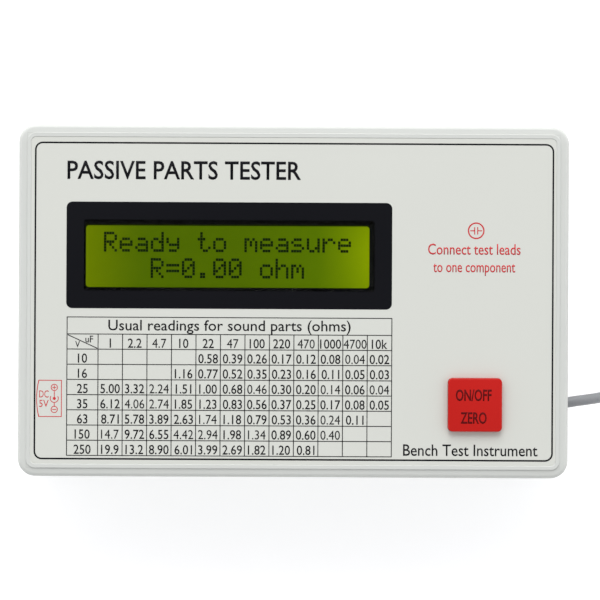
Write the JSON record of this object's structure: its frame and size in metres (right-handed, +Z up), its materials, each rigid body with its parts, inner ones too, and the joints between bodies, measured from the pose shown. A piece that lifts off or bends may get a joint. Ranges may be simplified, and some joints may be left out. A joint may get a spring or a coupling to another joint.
{
  "type": "component tester",
  "caption": "Handheld bench tester in a two-part plastic case with a character display, one square key, a DC inlet and a captive lead with two probes.",
  "frame": {"origin": "centre of the case's footprint, on the surface that the rubber feet stand on", "axes": "+X to the right along the face, +Y to the face's top edge, +Z up out of the face"},
  "size_m": [0.204, 0.1165, 0.0345],
  "materials": {
    "case_plastic": "fine moulded texture",
    "overlay_film": "fine velvet film, printed",
    "window_film": "clear",
    "key_plastic": "satin moulded",
    "white_plastic": "moulded",
    "black_plastic": "moulded",
    "foot_rubber": "matt",
    "screw_steel": "zinc plated",
    "bezel_metal": "satin black",
    "display_glass": "lit green liquid crystal",
    "backlight_plastic": "light guide",
    "strip_rubber": "contact strip",
    "board_laminate": "solder mask",
    "contact_metal": "tin plated",
    "epoxy_black": "moulded epoxy",
    "capacitor_sleeve": "shrink sleeve",
    "film_red": "epoxy case",
    "resistor_blue": "lacquer",
    "trimmer_blue": "moulded",
    "wire_insulation": "soft vinyl",
    "cable_jacket": "soft vinyl",
    "lead_red": "soft vinyl",
    "lead_black": "soft vinyl",
    "probe_red": "moulded",
    "probe_black": "moulded",
    "tip_steel": "polished"
  },
  "bodies": {
    "case": {"bottom_cover": "case_plastic", "top_cover": "case_plastic", "case_screws": "screw_steel", "rubber_feet": "foot_rubber", "face_overlay": "overlay_film", "display_window": "window_film", "switch_body": "black_plastic", "switch_terminals": "contact_metal", "lcd_bezel": "bezel_metal", "lcd_glass": "display_glass", "lcd_backlight": "backlight_plastic", "lcd_contact_strips": "strip_rubber", "lcd_board": "board_laminate", "lcd_driver_blobs": "epoxy_black", "lcd_screws": "screw_steel", "lcd_pin_header": "black_plastic", "lcd_socket": "black_plastic", "main_board": "board_laminate", "board_screws": "screw_steel", "jack_body": "black_plastic", "jack_centre_pin": "contact_metal", "jack_contacts": "contact_metal", "controller_chip": "epoxy_black", "chip_socket": "black_plastic", "amplifier_chips": "epoxy_black", "crystal": "contact_metal", "electrolytic_capacitors": "capacitor_sleeve", "film_capacitors": "film_red", "resistors": "resistor_blue", "diodes": "epoxy_black", "regulator": "epoxy_black", "trimmer_body": "trimmer_blue", "lead_header": "white_plastic", "lead_plug": "white_plastic", "lead_wires": "wire_insulation", "cable_bush": "black_plastic", "cable_tie": "white_plastic", "test_cable": "cable_jacket", "test_cable_coil": "cable_jacket", "test_cable_tail": "cable_jacket", "lead_splitter": "black_plastic", "red_lead": "lead_red", "black_lead": "lead_black", "red_probe_handle": "probe_red", "black_probe_handle": "probe_black", "red_probe_tip": "tip_steel", "black_probe_tip": "tip_steel"},
    "key": {"key_cap": "key_plastic", "key_pusher": "white_plastic", "switch_plunger": "black_plastic"},
    "contrast_rotor": {"trimmer_rotor": "white_plastic"}
  },
  "joints": [
    {"name": "key_press", "type": "slide", "parent": "case", "child": "key", "axis": [0, 0, -1], "range_m": [0, 0.00025], "stiffness_N_per_m": 6000},
    {"name": "contrast_trim", "type": "hinge", "parent": "case", "child": "contrast_rotor", "pos_m": [0.036, 0.016, 0.0152], "axis": [0, 0, 1], "range_deg": [-130, 130]}
  ]
}
